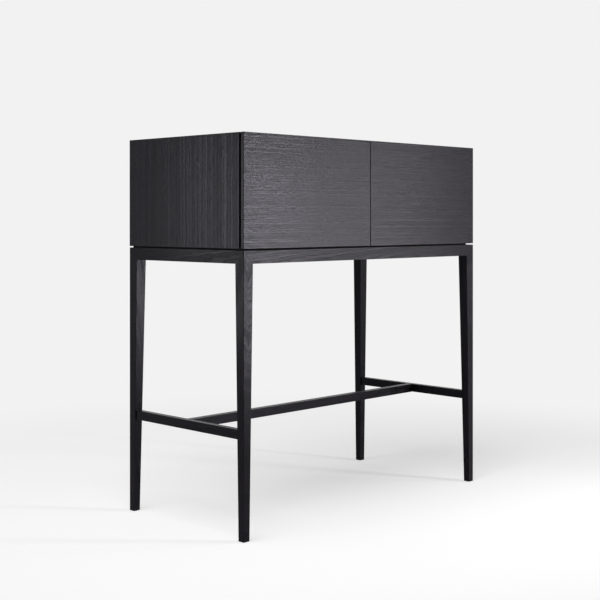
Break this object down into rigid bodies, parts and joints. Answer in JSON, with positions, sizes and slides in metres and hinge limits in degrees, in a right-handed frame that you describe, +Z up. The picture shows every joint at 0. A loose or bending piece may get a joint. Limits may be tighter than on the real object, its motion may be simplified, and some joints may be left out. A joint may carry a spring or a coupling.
{
  "type": "bar cabinet",
  "caption": "Box cabinet on a tall tapered leg frame with an H stretcher; its left front folds down into a shelf on brake stays, its right front is a hinged door.",
  "frame": {"origin": "on the floor, under the middle of the cabinet", "axes": "+X along the front to the right as seen from the front, the fronts face -Y, +Z up"},
  "size_m": [1.2, 0.582, 1.282],
  "materials": {
    "black_stained_ash": "open-pored ash, stained black, matt lacquer",
    "black_fibreboard": "dyed black, matt",
    "beech": "plain turned",
    "birch_plywood": "plain sawn",
    "black_nylon": "moulded, matt",
    "black_moulded_plastic": "moulded, fine grain",
    "black_zinc_casting": "die cast, black powder coat",
    "black_coated_steel": "stamped, black powder coat",
    "nickel_plated_steel": "turned, satin nickel plate",
    "nickel_plated_magnet": "sintered magnet, bright nickel plate",
    "black_zinc_screws": "black zinc plate"
  },
  "bodies": {
    "cabinet": {"hinge_arm_shelf_left": "black_coated_steel", "hinge_arm_shelf_right": "black_coated_steel", "hinge_arm_door_top": "black_coated_steel", "hinge_arm_door_bottom": "black_coated_steel", "stay_plate_left": "black_coated_steel", "stay_plate_right": "black_coated_steel", "hinge_arm_screws": "black_zinc_screws", "stay_plate_screws": "black_zinc_screws", "magnet_posts": "black_moulded_plastic", "post_magnets": "nickel_plated_magnet", "leg_front_left": "black_stained_ash", "leg_front_right": "black_stained_ash", "leg_rear_right": "black_stained_ash", "leg_rear_left": "black_stained_ash", "rail_front": "black_stained_ash", "rail_rear": "black_stained_ash", "rail_left": "black_stained_ash", "rail_right": "black_stained_ash", "stretcher_left": "black_stained_ash", "stretcher_right": "black_stained_ash", "stretcher_centre": "black_stained_ash", "foot_glides": "black_nylon", "frame_screws": "black_zinc_screws", "spacer_strip_front": "black_fibreboard", "spacer_strip_rear": "black_fibreboard", "spacer_strips_side": "black_fibreboard", "top_panel": "black_stained_ash", "bottom_panel": "black_stained_ash", "side_panel_left": "black_stained_ash", "side_panel_right": "black_stained_ash", "divider": "black_stained_ash", "back_panel": "black_stained_ash", "mitre_splines": "birch_plywood", "back_screws": "black_zinc_screws", "loose_shelf": "black_stained_ash", "shelf_pins": "nickel_plated_steel", "dowels": "beech"},
    "fold_out_shelf": {"fold_out_shelf": "black_stained_ash", "hinge_cup_shelf_left": "black_zinc_casting", "hinge_cup_shelf_right": "black_zinc_casting", "shelf_hinge_pins": "nickel_plated_steel", "shelf_screws": "black_zinc_screws", "shelf_strikes": "nickel_plated_steel", "stay_bracket_left": "black_coated_steel", "stay_bracket_right": "black_coated_steel", "stay_pins": "nickel_plated_steel"},
    "door": {"door": "black_stained_ash", "hinge_cup_door_top": "black_zinc_casting", "hinge_cup_door_bottom": "black_zinc_casting", "door_hinge_pins": "nickel_plated_steel", "door_screws": "black_zinc_screws", "door_strikes": "nickel_plated_steel"},
    "stay_rod_left": {"stay_rod_left": "nickel_plated_steel", "stay_rod_stop_left": "nickel_plated_steel"},
    "stay_swivel_left": {"stay_swivel_left": "black_zinc_casting", "stay_brake_screw_left": "nickel_plated_steel"},
    "stay_rod_right": {"stay_rod_right": "nickel_plated_steel", "stay_rod_stop_right": "nickel_plated_steel"},
    "stay_swivel_right": {"stay_swivel_right": "black_zinc_casting", "stay_brake_screw_right": "nickel_plated_steel"}
  },
  "joints": [
    {"name": "shelf_fold", "type": "hinge", "parent": "cabinet", "child": "fold_out_shelf", "pos_m": [-0.2955, -0.2835, 0.9285], "axis": [1, 0, 0], "range_deg": [0, 90]},
    {"name": "door_swing", "type": "hinge", "parent": "cabinet", "child": "door", "pos_m": [0.5875, -0.2835, 1.099], "axis": [0, 0, 1], "range_deg": [0, 95]},
    {"name": "stay_rod_left_pivot", "type": "hinge", "parent": "fold_out_shelf", "child": "stay_rod_left", "pos_m": [-0.568, -0.264, 1.1175], "axis": [1, 0, 0], "range_deg": [-45, 0]},
    {"name": "stay_swivel_left_turn", "type": "hinge", "parent": "cabinet", "child": "stay_swivel_left", "pos_m": [-0.568, -0.16137, 1.07405], "axis": [1, 0, 0], "range_deg": [0, 45]},
    {"name": "stay_rod_right_pivot", "type": "hinge", "parent": "fold_out_shelf", "child": "stay_rod_right", "pos_m": [-0.023, -0.264, 1.1175], "axis": [1, 0, 0], "range_deg": [-45, 0]},
    {"name": "stay_swivel_right_turn", "type": "hinge", "parent": "cabinet", "child": "stay_swivel_right", "pos_m": [-0.023, -0.16137, 1.07405], "axis": [1, 0, 0], "range_deg": [0, 45]}
  ],
  "couplings": [
    {"joint": "stay_rod_left_pivot", "follows": "shelf_fold", "ratio": -0.5},
    {"joint": "stay_swivel_left_turn", "follows": "shelf_fold", "ratio": 0.5},
    {"joint": "stay_rod_right_pivot", "follows": "shelf_fold", "ratio": -0.5},
    {"joint": "stay_swivel_right_turn", "follows": "shelf_fold", "ratio": 0.5}
  ]
}
